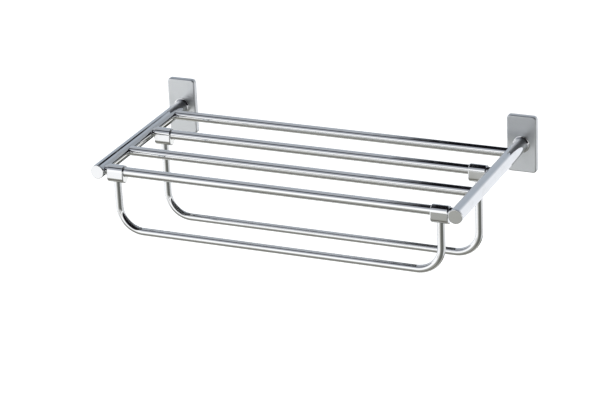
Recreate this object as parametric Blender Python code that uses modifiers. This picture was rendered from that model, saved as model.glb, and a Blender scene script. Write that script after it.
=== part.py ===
"""Wall-mounted towel rack: a four-bar shelf between two arms, with two U rails hanging from its bars.

Metres, +Z up. The wall is the plane y = 0 and the rack stands out along -Y. The origin lies on the
wall, midway between the two wall plates, at the height of the arms. +X is to the right of someone
who faces the wall. Depths are distances from the wall, and drops are distances below the arms.
"""

from math import cos, pi, radians, sin

import bmesh
import bpy
from mathutils import Matrix, Vector

# Clearance between pieces that touch or slide on each other
GAP = 0.0003

# Arms: round tubes at right angles to the wall
ARM_X = 0.289
ARM_RADIUS = 0.011
ARM_WALL = 0.0014
ARM_BACK = 0.028
ARM_FRONT = 0.3065
ARM_BORE = ARM_RADIUS - ARM_WALL

# End caps: discs with a spigot inside the arm
CAP_FRONT = 0.309
CAP_SPIGOT_BACK = 0.3021

# Shelf bars: round tubes from arm to arm, numbered outwards from the wall
BAR_RADIUS = 0.0075
BAR_WALL = 0.001
FIRST_BAR = 0.048
BAR_PITCH = 0.082
BAR_DEPTHS = [FIRST_BAR + BAR_PITCH * step for step in range(4)]
BAR_HALF_LENGTH = ARM_X + 0.004

# Wall covers: pressed shells over the brackets
COVER_WIDTH = 0.048
COVER_HEIGHT = 0.092
COVER_FRONT = 0.0093
COVER_CORNER = 0.006
COVER_EDGE = 0.0022
COVER_SHEET = 0.0012
COVER_INSIDE = COVER_FRONT - COVER_SHEET

# Wall brackets: channels that the covers hook over
BRACKET_WIDTH = 0.036
BRACKET_HEIGHT = 0.0884
BRACKET_SHEET = 0.002
BRACKET_DEPTH = 0.0068
BRACKET_HOLE_RADIUS = 0.0026
BRACKET_HOLE_HEIGHT = 0.028
BRACKET_MIDDLE_HOLE_RADIUS = 0.0095

# Posts: turned pieces that join the arms to the covers
POST_BASE_RADIUS = 0.0135
POST_NECK_RADIUS = 0.0105
POST_RIM = 0.0012
POST_FLARE = 0.0062
POST_SPIGOT_RADIUS = ARM_BORE - GAP
POST_SPIGOT_FRONT = 0.0398
POST_TENON_RADIUS = 0.006

# Post screws and their washers, behind the covers
POST_SCREW_RADIUS = 0.003
POST_SCREW_TIP = 0.0195
POST_HEAD_RADIUS = 0.0052
POST_HEAD_HEIGHT = 0.0032
WASHER_RADIUS = 0.0085
WASHER_THICKNESS = 0.0012
WASHER_FRONT = COVER_INSIDE - GAP
POST_HEAD_FRONT = WASHER_FRONT - WASHER_THICKNESS - GAP

# Set screws: M4 under the arms, M3 in the covers and blocks
SET_RADIUS = 0.002
SMALL_SET_RADIUS = 0.0015
SET_RECESS = 0.0003
BAR_SET_TOP = BAR_RADIUS + GAP
ARM_SET_DEPTH = 0.034
ARM_SET_TOP = 0.007
COVER_SET_DEPTH = 0.0042
COVER_SET_TOP = BRACKET_HEIGHT / 2 - 0.0027

# Hanging rails: bent tubes, each held in two blocks that turn on a shelf bar
RAIL_RADIUS = 0.006
RAIL_WALL = 0.001
RAIL_HALF_SPAN = 0.262
RAIL_BEND = 0.039
RAIL_TOP = 0.0091
RAIL_DROPS = {"front": 0.096, "rear": 0.138}
RAIL_DEPTHS = {"front": BAR_DEPTHS[3], "rear": BAR_DEPTHS[1]}

# Hanger blocks: round over the bar and round below, with the rail's leg in the underside
BLOCK_LENGTH = 0.028
BLOCK_RADIUS = 0.0097
BLOCK_BOTTOM = 0.018
BLOCK_EDGE = 0.0016
BLOCK_SET_DROP = 0.0115
BLOCK_SET_OUTER = 0.0089

# Small shared details
CHAMFER = 0.0006
SOCKET_RIM_SHARE = 0.45
SOCKET_DEPTH_SHARE = 0.6
FLARE_STEPS = 5
BEND_STEPS = 8
HALF_ROUND_STEPS = 8
WELD = 0.00001

SIDES = {"left": -1, "right": 1}

# Finishes: name, colour, metallic, roughness
CHROME = ("chrome", (0.80, 0.81, 0.82), 1.0, 0.06)
ZINC = ("zinc", (0.56, 0.57, 0.58), 1.0, 0.38)
STEEL = ("steel", (0.32, 0.32, 0.33), 1.0, 0.34)


def clear_scene():
    """Empties the scene of everything in it."""
    for old in list(bpy.data.objects):
        bpy.data.objects.remove(old)


def new_collection(name):
    """A collection in the scene."""
    made = bpy.data.collections.new(name)
    bpy.context.scene.collection.children.link(made)
    return made


def finish(part_name, values):
    """A Principled material for one piece."""
    kind, colour, metallic, roughness = values
    made = bpy.data.materials.new(f"{kind}_{part_name}")
    made.use_nodes = True
    shader = made.node_tree.nodes["Principled BSDF"]
    shader.inputs["Base Color"].default_value = (*colour, 1.0)
    shader.inputs["Metallic"].default_value = metallic
    shader.inputs["Roughness"].default_value = roughness
    return made


def add_part(name, mesh, values, parent=None):
    """A visible piece of the rack, shaded smooth across its round faces."""
    made = bpy.data.objects.new(name, mesh)
    mesh.materials.append(finish(name, values))
    mesh.shade_smooth()
    mesh.set_sharp_from_angle(angle=radians(35))
    rack.objects.link(made)
    made.parent = parent
    return made


def cut(part, cutter_mesh, parent=None):
    """Takes a hidden solid away from the part."""
    cutter = bpy.data.objects.new(f"cutter_{part.name}", cutter_mesh)
    cutter.hide_render = True
    cutter.display_type = "WIRE"
    cutter.parent = parent
    cutters.objects.link(cutter)
    modifier = part.modifiers.new("cut", "BOOLEAN")
    modifier.operation = "DIFFERENCE"
    modifier.object = cutter


def to_mesh(shape, name):
    """Moves a bmesh into a new mesh."""
    mesh = bpy.data.meshes.new(name)
    shape.to_mesh(mesh)
    shape.free()
    return mesh


def rod_mesh(radius, start, end, segments=24, capped=True):
    """A cylinder between two points, or only its outer skin."""
    start, end = Vector(start), Vector(end)
    along = end - start
    turn = Vector((0, 0, 1)).rotation_difference(along).to_matrix().to_4x4()
    shape = bmesh.new()
    bmesh.ops.create_cone(
        shape,
        cap_ends=capped,
        segments=segments,
        radius1=radius,
        radius2=radius,
        depth=along.length,
        matrix=Matrix.Translation((start + end) / 2) @ turn,
    )
    return to_mesh(shape, "rod")


def box_mesh(size, middle):
    """A box of this size about its middle."""
    shape = bmesh.new()
    bmesh.ops.create_cube(shape, size=1, matrix=Matrix.Translation(middle) @ Matrix.Diagonal((*size, 1)))
    return to_mesh(shape, "box")


def set_screw_mesh(radius, tip, socket):
    """A headless screw from its tip to its outer end, which has a recessed socket."""
    mesh = rod_mesh(radius, tip, socket, segments=12)
    inwards = (Vector(tip) - Vector(socket)).normalized()
    shape = bmesh.new()
    shape.from_mesh(mesh)
    shape.faces.ensure_lookup_table()
    outer = min(shape.faces, key=lambda face: (face.calc_center_median() - Vector(socket)).length)
    bmesh.ops.inset_individual(shape, faces=[outer], thickness=radius * SOCKET_RIM_SHARE)
    floor = bmesh.ops.extrude_discrete_faces(shape, faces=[outer])["faces"][0]
    bmesh.ops.translate(shape, verts=floor.verts, vec=inwards * radius * SOCKET_DEPTH_SHARE)
    return to_mesh(shape, "set_screw")


def drill(part, radius, start, end, parent=None):
    """A round hole between two points, with more sides when it is large."""
    segments = 24 if radius > SET_RADIUS * 2 else 12
    cut(part, rod_mesh(radius, start, end, segments), parent)


def thicken(part, sheet):
    """Gives an open skin its thickness, inwards."""
    modifier = part.modifiers.new("sheet", "SOLIDIFY")
    modifier.thickness = sheet
    modifier.offset = -1
    modifier.use_even_offset = True


def add_turned(name, side, profile, values, closed=False, segments=28):
    """A piece turned about an arm's axis from (radius, depth) points that run from the front backwards."""
    shape = bmesh.new()
    points = [shape.verts.new((radius, 0, depth)) for radius, depth in profile]
    following = points[1:] + points[:1] if closed else points[1:]
    for start, end in zip(points, following):
        shape.edges.new((start, end))
    made = add_part(name, to_mesh(shape, name), values)
    made.location = (SIDES[side] * ARM_X, 0, 0)
    made.rotation_euler = (pi / 2, 0, 0)
    screw = made.modifiers.new("turn", "SCREW")
    screw.angle = 2 * pi
    screw.steps = segments
    screw.render_steps = segments
    screw.use_merge_vertices = True
    screw.merge_threshold = WELD
    return made


def add_bracket(side):
    """The channel that is screwed to the wall behind a cover."""
    x = SIDES[side] * ARM_X
    size = (BRACKET_WIDTH, BRACKET_DEPTH, BRACKET_HEIGHT)
    bracket = add_part(f"wall_bracket_{side}", box_mesh(size, (x, -BRACKET_DEPTH / 2, 0)), ZINC)
    hollow = (2 * BRACKET_WIDTH, BRACKET_DEPTH, BRACKET_HEIGHT - 2 * BRACKET_SHEET)
    cut(bracket, box_mesh(hollow, (x, -BRACKET_SHEET - BRACKET_DEPTH / 2, 0)))
    holes = [
        (0, BRACKET_MIDDLE_HOLE_RADIUS),
        (BRACKET_HOLE_HEIGHT, BRACKET_HOLE_RADIUS),
        (-BRACKET_HOLE_HEIGHT, BRACKET_HOLE_RADIUS),
    ]
    for height, radius in holes:
        drill(bracket, radius, (x, BRACKET_SHEET, height), (x, -2 * BRACKET_SHEET, height))
    drill_cover_set_hole(bracket, side)


def drill_cover_set_hole(part, side):
    """The hole of a cover's set screw, up through the underside of the cover or its bracket."""
    x = SIDES[side] * ARM_X
    below, above = -COVER_HEIGHT, -BRACKET_HEIGHT / 2 + 2 * BRACKET_SHEET
    drill(part, SMALL_SET_RADIUS + GAP, (x, -COVER_SET_DEPTH, below), (x, -COVER_SET_DEPTH, above))


def cover_skin():
    """A box with rounded corners and front edge, open towards the wall."""
    depth = COVER_FRONT - GAP
    shape = bmesh.new()
    bmesh.ops.create_cube(shape, size=1, matrix=Matrix.Diagonal((COVER_WIDTH, depth, COVER_HEIGHT, 1)))
    back = max(shape.faces, key=lambda face: face.calc_center_median().y)
    bmesh.ops.delete(shape, geom=[back], context="FACES")
    corners = [edge for edge in shape.edges if abs(edge.verts[0].co.y - edge.verts[1].co.y) > depth / 2]
    bmesh.ops.bevel(
        shape, geom=corners, offset=COVER_CORNER, segments=5, profile=0.5, affect="EDGES", clamp_overlap=True
    )
    front = min(shape.faces, key=lambda face: face.calc_center_median().y)
    bmesh.ops.bevel(
        shape, geom=list(front.edges), offset=COVER_EDGE, segments=3, profile=0.5, affect="EDGES", clamp_overlap=True
    )
    return shape


def add_cover(side):
    """The shell that hides a bracket, with the post's hole in its front."""
    x = SIDES[side] * ARM_X
    shape = cover_skin()
    bmesh.ops.translate(shape, verts=shape.verts, vec=(x, -(COVER_FRONT + GAP) / 2, 0))
    cover = add_part(f"wall_cover_{side}", to_mesh(shape, "cover"), CHROME)
    thicken(cover, COVER_SHEET)
    drill(cover, POST_TENON_RADIUS + GAP, (x, -COVER_FRONT * 2, 0), (x, -COVER_FRONT / 2, 0))
    drill_cover_set_hole(cover, side)
    tip = (x, -COVER_SET_DEPTH, -COVER_SET_TOP)
    socket = (x, -COVER_SET_DEPTH, -COVER_HEIGHT / 2 + SET_RECESS)
    add_part(f"cover_set_screw_{side}", set_screw_mesh(SMALL_SET_RADIUS, tip, socket), STEEL)


def post_profile():
    """The front spigot, the neck, the flare to the base and the tenon behind it."""
    shoulder = ARM_BACK - GAP
    rim = COVER_FRONT + GAP + POST_RIM
    flare = []
    for step in range(FLARE_STEPS + 1):
        angle = pi / 2 * step / FLARE_STEPS
        radius = POST_NECK_RADIUS + (POST_BASE_RADIUS - POST_NECK_RADIUS) * (1 - cos(angle))
        flare.append((radius, rim + POST_FLARE * (1 - sin(angle))))
    return [
        (0, POST_SPIGOT_FRONT),
        (POST_SPIGOT_RADIUS - CHAMFER, POST_SPIGOT_FRONT),
        (POST_SPIGOT_RADIUS, POST_SPIGOT_FRONT - CHAMFER),
        (POST_SPIGOT_RADIUS, shoulder),
        *flare,
        (POST_BASE_RADIUS, COVER_FRONT + GAP),
        (POST_TENON_RADIUS, COVER_FRONT + GAP),
        (POST_TENON_RADIUS, COVER_INSIDE + GAP),
        (0, COVER_INSIDE + GAP),
    ]


def add_post(side):
    """The turned post between a cover and its arm, with the screw and washer that hold it."""
    x = SIDES[side] * ARM_X
    post = add_turned(f"arm_post_{side}", side, post_profile(), CHROME)
    drill(post, POST_SCREW_RADIUS + GAP, (x, 0, 0), (x, -POST_SCREW_TIP - GAP, 0))
    drill(post, SET_RADIUS + GAP, (x, -ARM_SET_DEPTH, -ARM_RADIUS), (x, -ARM_SET_DEPTH, GAP - ARM_SET_TOP))
    bore = POST_SCREW_RADIUS + GAP
    washer_back = WASHER_FRONT - WASHER_THICKNESS
    washer = [(bore, WASHER_FRONT), (WASHER_RADIUS, WASHER_FRONT), (WASHER_RADIUS, washer_back), (bore, washer_back)]
    add_turned(f"post_washer_{side}", side, washer, ZINC, closed=True, segments=20)
    head_back = POST_HEAD_FRONT - POST_HEAD_HEIGHT
    screw = [
        (0, POST_SCREW_TIP),
        (POST_SCREW_RADIUS, POST_SCREW_TIP),
        (POST_SCREW_RADIUS, POST_HEAD_FRONT),
        (POST_HEAD_RADIUS, POST_HEAD_FRONT),
        (POST_HEAD_RADIUS, head_back),
        (0, head_back),
    ]
    add_turned(f"post_screw_{side}", side, screw, STEEL, segments=20)


def add_arm(side):
    """An arm tube with its holes for the bars and set screws, and its end cap."""
    x = SIDES[side] * ARM_X
    arm = add_part(
        f"arm_tube_{side}", rod_mesh(ARM_RADIUS, (x, -ARM_FRONT, 0), (x, -ARM_BACK, 0), 28, False), CHROME
    )
    thicken(arm, ARM_WALL)
    for depth in BAR_DEPTHS:
        inside = x - SIDES[side] * 2 * ARM_RADIUS
        drill(arm, BAR_RADIUS + GAP, (x, -depth, 0), (inside, -depth, 0))
    for depth in [ARM_SET_DEPTH, *BAR_DEPTHS]:
        drill(arm, SET_RADIUS + GAP, (x, -depth, -2 * ARM_RADIUS), (x, -depth, -ARM_BORE + ARM_WALL))
    disc_back = ARM_FRONT + GAP
    cap = [
        (0, CAP_FRONT),
        (ARM_RADIUS - CHAMFER, CAP_FRONT),
        (ARM_RADIUS, CAP_FRONT - CHAMFER),
        (ARM_RADIUS, disc_back),
        (POST_SPIGOT_RADIUS, disc_back),
        (POST_SPIGOT_RADIUS, CAP_SPIGOT_BACK),
        (0, CAP_SPIGOT_BACK),
    ]
    add_turned(f"arm_cap_{side}", side, cap, CHROME)
    add_arm_set_screw(f"arm_set_screw_{side}", side, ARM_SET_DEPTH, ARM_SET_TOP)
    for number, depth in enumerate(BAR_DEPTHS, start=1):
        add_arm_set_screw(f"bar_{number}_set_screw_{side}", side, depth, BAR_SET_TOP)


def add_arm_set_screw(name, side, depth, top):
    """A set screw that comes up through the underside of an arm."""
    x = SIDES[side] * ARM_X
    screw = set_screw_mesh(SET_RADIUS, (x, -depth, -top), (x, -depth, -ARM_RADIUS + SET_RECESS))
    add_part(name, screw, STEEL)


def add_shelf_bar(number, depth):
    """A bar whose ends lie inside the two arms."""
    ends = (-BAR_HALF_LENGTH, -depth, 0), (BAR_HALF_LENGTH, -depth, 0)
    bar = add_part(f"shelf_bar_{number}", rod_mesh(BAR_RADIUS, *ends, 24, False), CHROME)
    thicken(bar, BAR_WALL)


def rail_path(drop):
    """The centre line of a U rail: down one leg, along and up the other."""
    straight = RAIL_HALF_SPAN - RAIL_BEND
    half = [(RAIL_HALF_SPAN, 0, -RAIL_TOP)]
    for step in range(BEND_STEPS + 1):
        angle = pi / 2 * step / BEND_STEPS
        half.append((straight + RAIL_BEND * cos(angle), 0, RAIL_BEND - drop - RAIL_BEND * sin(angle)))
    return [(-x, y, z) for x, y, z in half] + half[::-1]


def curve_to_mesh(curve_data):
    """The mesh of a curve, welded."""
    holder = bpy.data.objects.new("curve", curve_data)
    bpy.context.scene.collection.objects.link(holder)
    graph = bpy.context.evaluated_depsgraph_get()
    mesh = bpy.data.meshes.new_from_object(holder.evaluated_get(graph))
    bpy.data.objects.remove(holder)
    shape = bmesh.new()
    shape.from_mesh(mesh)
    bmesh.ops.remove_doubles(shape, verts=shape.verts, dist=WELD)
    bmesh.ops.recalc_face_normals(shape, faces=shape.faces)
    return to_mesh(shape, "from_curve")


def add_spline(curve_data, points, closed):
    """A spline of straight pieces through these points."""
    spline = curve_data.splines.new("POLY")
    spline.points.add(len(points) - 1)
    for point, place in zip(spline.points, points):
        point.co = (*place, 1)
    spline.use_cyclic_u = closed


def add_rail(name, pivot):
    """A bent tube that hangs from two blocks."""
    curve_data = bpy.data.curves.new(name, "CURVE")
    curve_data.dimensions = "3D"
    curve_data.bevel_depth = RAIL_RADIUS
    curve_data.bevel_resolution = 4
    add_spline(curve_data, rail_path(RAIL_DROPS[name]), closed=False)
    rail = add_part(f"{name}_rail", curve_to_mesh(curve_data), CHROME, pivot)
    thicken(rail, RAIL_WALL)


def block_outline():
    """Two half circles, one about the bar and one below it, inside the rounded ends."""
    radius = BLOCK_RADIUS - BLOCK_EDGE
    lower_centre = BLOCK_RADIUS - BLOCK_BOTTOM
    outline = []
    for centre, first in ((0, 0), (lower_centre, pi)):
        for step in range(HALF_ROUND_STEPS + 1):
            angle = first + pi * step / HALF_ROUND_STEPS
            outline.append((radius * cos(angle), centre + radius * sin(angle), 0))
    return outline


def block_mesh(x):
    """A block with rounded end edges, its bar along X at the origin's height."""
    curve_data = bpy.data.curves.new("block", "CURVE")
    curve_data.dimensions = "2D"
    curve_data.fill_mode = "BOTH"
    curve_data.extrude = BLOCK_LENGTH / 2 - BLOCK_EDGE
    curve_data.bevel_depth = BLOCK_EDGE
    curve_data.bevel_resolution = 1
    add_spline(curve_data, block_outline(), closed=True)
    mesh = curve_to_mesh(curve_data)
    lying = Matrix(((0, 0, 1, x), (1, 0, 0, 0), (0, 1, 0, 0), (0, 0, 0, 1)))
    mesh.transform(lying)
    return mesh


def add_block(name, side, pivot):
    """A hanger block with its bar hole, its leg hole and the set screw that grips the leg."""
    x = SIDES[side] * RAIL_HALF_SPAN
    block = add_part(f"{name}_block_{side}", block_mesh(x), CHROME, pivot)
    drill(block, BAR_RADIUS + GAP, (x - BLOCK_LENGTH, 0, 0), (x + BLOCK_LENGTH, 0, 0), pivot)
    drill(block, RAIL_RADIUS + GAP, (x, 0, -2 * BLOCK_BOTTOM), (x, 0, GAP - RAIL_TOP), pivot)
    height = -BLOCK_SET_DROP
    drill(block, SMALL_SET_RADIUS + GAP, (x, 2 * BLOCK_RADIUS, height), (x, RAIL_RADIUS - GAP, height), pivot)
    screw = set_screw_mesh(SMALL_SET_RADIUS, (x, RAIL_RADIUS + GAP, height), (x, BLOCK_SET_OUTER, height))
    add_part(f"{name}_block_set_screw_{side}", screw, STEEL, pivot)


def add_hanger(name):
    """A rail, its blocks and its screws, about the axis of the bar they turn on."""
    pivot = bpy.data.objects.new(f"{name}_rail_axis", None)
    pivot.location = (0, -RAIL_DEPTHS[name], 0)
    rack.objects.link(pivot)
    add_rail(name, pivot)
    for side in SIDES:
        add_block(name, side, pivot)


clear_scene()
rack = new_collection("towel_rack")
cutters = new_collection("cutters")
for arm_side in SIDES:
    add_bracket(arm_side)
    add_cover(arm_side)
    add_post(arm_side)
    add_arm(arm_side)
for bar_number, bar_depth in enumerate(BAR_DEPTHS, start=1):
    add_shelf_bar(bar_number, bar_depth)
for rail_name in RAIL_DROPS:
    add_hanger(rail_name)
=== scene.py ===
"""Finished looks of a wall-mounted chrome towel rack.

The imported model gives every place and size. Each of its nodes is stood for by a finer piece built
here: turned and bent tubes, cast blocks, pressed covers, sheet brackets and socket screws, in plated
and bare metal finishes. Lengths are metres, the wall is the plane y = 0, and +Z is up.
"""

import logging
from collections.abc import Callable, Sequence
from dataclasses import dataclass
from enum import Enum
from functools import cache
from math import atan2, cos, pi, radians, sin, tan, tau
from typing import ClassVar

import bmesh
import bpy
from mathutils import Matrix, Vector


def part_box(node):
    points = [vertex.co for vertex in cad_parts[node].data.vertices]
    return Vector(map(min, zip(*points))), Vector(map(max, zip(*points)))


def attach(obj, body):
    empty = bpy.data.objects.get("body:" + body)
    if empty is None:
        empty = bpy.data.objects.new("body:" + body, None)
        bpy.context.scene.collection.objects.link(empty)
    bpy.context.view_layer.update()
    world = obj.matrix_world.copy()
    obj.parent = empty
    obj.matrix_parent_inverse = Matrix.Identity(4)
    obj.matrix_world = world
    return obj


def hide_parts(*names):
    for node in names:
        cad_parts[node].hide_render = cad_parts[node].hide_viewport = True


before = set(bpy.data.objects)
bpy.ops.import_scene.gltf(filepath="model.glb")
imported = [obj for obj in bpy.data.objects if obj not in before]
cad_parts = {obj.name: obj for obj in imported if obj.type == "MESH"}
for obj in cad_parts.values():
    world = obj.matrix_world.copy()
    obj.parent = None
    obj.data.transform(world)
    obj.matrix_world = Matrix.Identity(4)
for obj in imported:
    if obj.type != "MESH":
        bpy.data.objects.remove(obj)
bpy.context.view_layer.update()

LOG = logging.getLogger("towel_rack")

SHELF = "shelf"
SIDES = {"left": -1, "right": 1}
BARS = (1, 2, 3, 4)
RAIL_BARS = {"front": 4, "rear": 2}

OUT = Vector((0, -1, 0))
UP = Vector((0, 0, 1))
ALONG = Vector((1, 0, 0))

# The clearance between fitted pieces, how near two points are when they are one, and the straight
# pieces in a small softened edge
FIT = 0.0003
WELD = 0.0000001
EDGE_STEPS = 4

Mesh = bpy.types.Mesh
Socket = bpy.types.NodeSocket
Tree = bpy.types.NodeTree
Groups = dict[str, Tree]
Ring = list[Vector]
Point = tuple[float, float]
Colour = tuple[float, float, float]
NormalRule = Callable[[Vector, Vector], Vector | None]


# ---------------------------------------------------------------------------------------------
# Shapes
# ---------------------------------------------------------------------------------------------


class Ends(Enum):
    """How the first and last ring of a skin are finished."""

    CAPPED = "a flat face over each"
    JOINED = "the last ring meets the first"


def rounded(corners: Sequence[tuple[float, float, float]], steps: int, closed: bool = False) -> list[Point]:
    """Replaces the corners of a flat outline with arcs.

    Args:
        corners: Each corner's two coordinates and the radius of its arc, 0 for a sharp one.
        steps: Straight pieces in each arc.
        closed: Whether the last corner leads back to the first.

    Returns:
        The points of the rounded outline.
    """
    points: list[Point] = []
    count = len(corners)
    for index, (first, second, radius) in enumerate(corners):
        if radius == 0 or (not closed and index in (0, count - 1)):
            points.append((first, second))
            continue
        here = Vector((first, second))
        before = (Vector(corners[index - 1][:2]) - here).normalized()
        after = (Vector(corners[(index + 1) % count][:2]) - here).normalized()
        half_angle = before.angle(after) / 2
        centre = here + (before + after).normalized() * radius / sin(half_angle)
        start = here + before * radius / tan(half_angle) - centre
        end = here + after * radius / tan(half_angle) - centre
        sweep = start.angle(end)
        for step in range(steps + 1):
            share = step / steps
            spoke = (start * sin((1 - share) * sweep) + end * sin(share * sweep)) / sin(sweep)
            points.append(tuple(centre + spoke))
    return points


def quarter(steps: int) -> list[Point]:
    """The cosine and sine of each angle of a quarter turn, in equal steps."""
    angles = [pi / 2 * step / steps for step in range(steps + 1)]
    return [(cos(angle), sin(angle)) for angle in angles]


def circle(radius: float, height: float, sides: int, place: Matrix) -> Ring:
    """A circle about the local Z axis of a place, at a height along it."""
    raised = place @ Matrix.Translation((0, 0, height))
    angles = [tau * k / sides for k in range(sides)]
    return [raised @ Vector((radius * cos(angle), radius * sin(angle), 0)) for angle in angles]


def skin(rings: Sequence[Ring], ends: Ends) -> Mesh:
    """Covers a row of rings that all have the same number of points.

    Args:
        rings: The rings in order.
        ends: What closes the first and last one.

    Returns:
        A closed mesh with its faces pointing out.
    """
    shape = bmesh.new()
    rows = [[shape.verts.new(point) for point in ring] for ring in rings]
    pairs = list(zip(rows, rows[1:]))
    if ends is Ends.JOINED:
        pairs.append((rows[-1], rows[0]))
    for near, far in pairs:
        for k in range(len(near)):
            after = (k + 1) % len(near)
            shape.faces.new((near[k], near[after], far[after], far[k]))
    if ends is Ends.CAPPED:
        shape.faces.new(rows[0])
        shape.faces.new(rows[-1])
    bmesh.ops.remove_doubles(shape, verts=shape.verts, dist=WELD)
    bmesh.ops.recalc_face_normals(shape, faces=shape.faces)
    mesh = bpy.data.meshes.new("skin")
    shape.to_mesh(mesh)
    shape.free()
    return mesh


def facing(start: Vector, towards: Vector) -> Matrix:
    """A place at start whose local Z axis points along towards."""
    return Matrix.Translation(start) @ UP.rotation_difference(towards).to_matrix().to_4x4()


def turned(profile: Sequence[Point], place: Matrix, sides: int, ends: Ends = Ends.CAPPED) -> Mesh:
    """A piece turned on a lathe.

    Args:
        profile: The radius and height of each point along the outline.
        place: Where the piece stands, with its axis along the local Z.
        sides: Sides of the round.
        ends: CAPPED for a solid piece, JOINED for a ring or a tube.

    Returns:
        The turned mesh.
    """
    return skin([circle(radius, height, sides, place) for radius, height in profile], ends)


def tube_section(outer: float, inner: float, length: float, edge: float) -> list[Point]:
    """The wall of a straight tube in section, with softened end edges."""
    corners = [(outer, 0, edge), (outer, length, edge), (inner, length, edge / 2), (inner, 0, edge / 2)]
    return rounded(corners, EDGE_STEPS, closed=True)


def rod(radius: float, start: Vector, end: Vector, sides: int = 64) -> Mesh:
    """A plain round bar between two points, for cutting holes."""
    return turned([(radius, 0), (radius, (end - start).length)], facing(start, end - start), sides)


def cut(body: Mesh, tools: Sequence[Mesh]) -> Mesh:
    """Takes tools away from a mesh.

    Args:
        body: The mesh to cut.
        tools: Closed meshes, each removed in turn.

    Returns:
        A new mesh with the cuts made.
    """
    holders = []
    for mesh in [body, *tools]:
        holders.append(bpy.data.objects.new("cutting", mesh))
        bpy.context.scene.collection.objects.link(holders[-1])
    for tool in holders[1:]:
        modifier = holders[0].modifiers.new("cut", "BOOLEAN")
        modifier.operation = "DIFFERENCE"
        modifier.solver = "MANIFOLD"
        modifier.object = tool
    graph = bpy.context.evaluated_depsgraph_get()
    made = bpy.data.meshes.new_from_object(holders[0].evaluated_get(graph))
    for holder in holders:
        bpy.data.objects.remove(holder)
    return made


# ---------------------------------------------------------------------------------------------
# Shading normals of true cylinders and planes
# ---------------------------------------------------------------------------------------------

SHARP_ANGLE = radians(38)
# How well two directions have to agree, or stand square to each other, to count as true
NEARLY_ONE = 0.997
NEARLY_ZERO = 0.04


def snap_flat(normal: Vector) -> Vector | None:
    """A face normal that lies along X, Y or Z, made exact."""
    for axis in (ALONG, OUT, UP):
        if abs(normal.dot(axis)) > NEARLY_ONE:
            return axis if normal.dot(axis) > 0 else -axis
    return None


def round_about(point: Vector, axis: Vector, centre: Vector, normal: Vector) -> Vector | None:
    """The true normal of a cylinder about an axis, where a face lies along that axis.

    Args:
        point: A point on the face.
        axis: The direction of the cylinder's axis.
        centre: A point on that axis.
        normal: The face's own normal.

    Returns:
        The normal, or None where the face isn't part of the cylinder.
    """
    spoke = point - centre
    spoke -= axis * spoke.dot(axis)
    if abs(normal.dot(axis)) > NEARLY_ZERO or spoke.length == 0:
        return None
    spoke.normalize()
    side = spoke.dot(normal)
    if abs(side) < NEARLY_ONE:
        return None
    return spoke if side > 0 else -spoke


def lathe_rule(centre: Vector, axis: Vector) -> NormalRule:
    """Exact normals for the flat ends and the straight sides of a turned piece."""
    return lambda point, normal: snap_flat(normal) or round_about(point, axis, centre, normal)


def shade(mesh: Mesh, rule: NormalRule) -> None:
    """Shades a mesh smooth, with exact normals where the rule knows them.

    Args:
        mesh: The mesh to shade.
        rule: Gives the true normal at a point of a face with this normal, or None.
    """
    mesh.shade_smooth()
    mesh.set_sharp_from_angle(angle=SHARP_ANGLE)
    normals = [Vector(corner.vector) for corner in mesh.corner_normals]
    for face in mesh.polygons:
        for corner in face.loop_indices:
            exact = rule(mesh.vertices[mesh.loops[corner].vertex_index].co, face.normal)
            if exact is not None:
                normals[corner] = exact
    mesh.normals_split_custom_set(normals)


# ---------------------------------------------------------------------------------------------
# Shader groups shared by the finishes
# ---------------------------------------------------------------------------------------------


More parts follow.
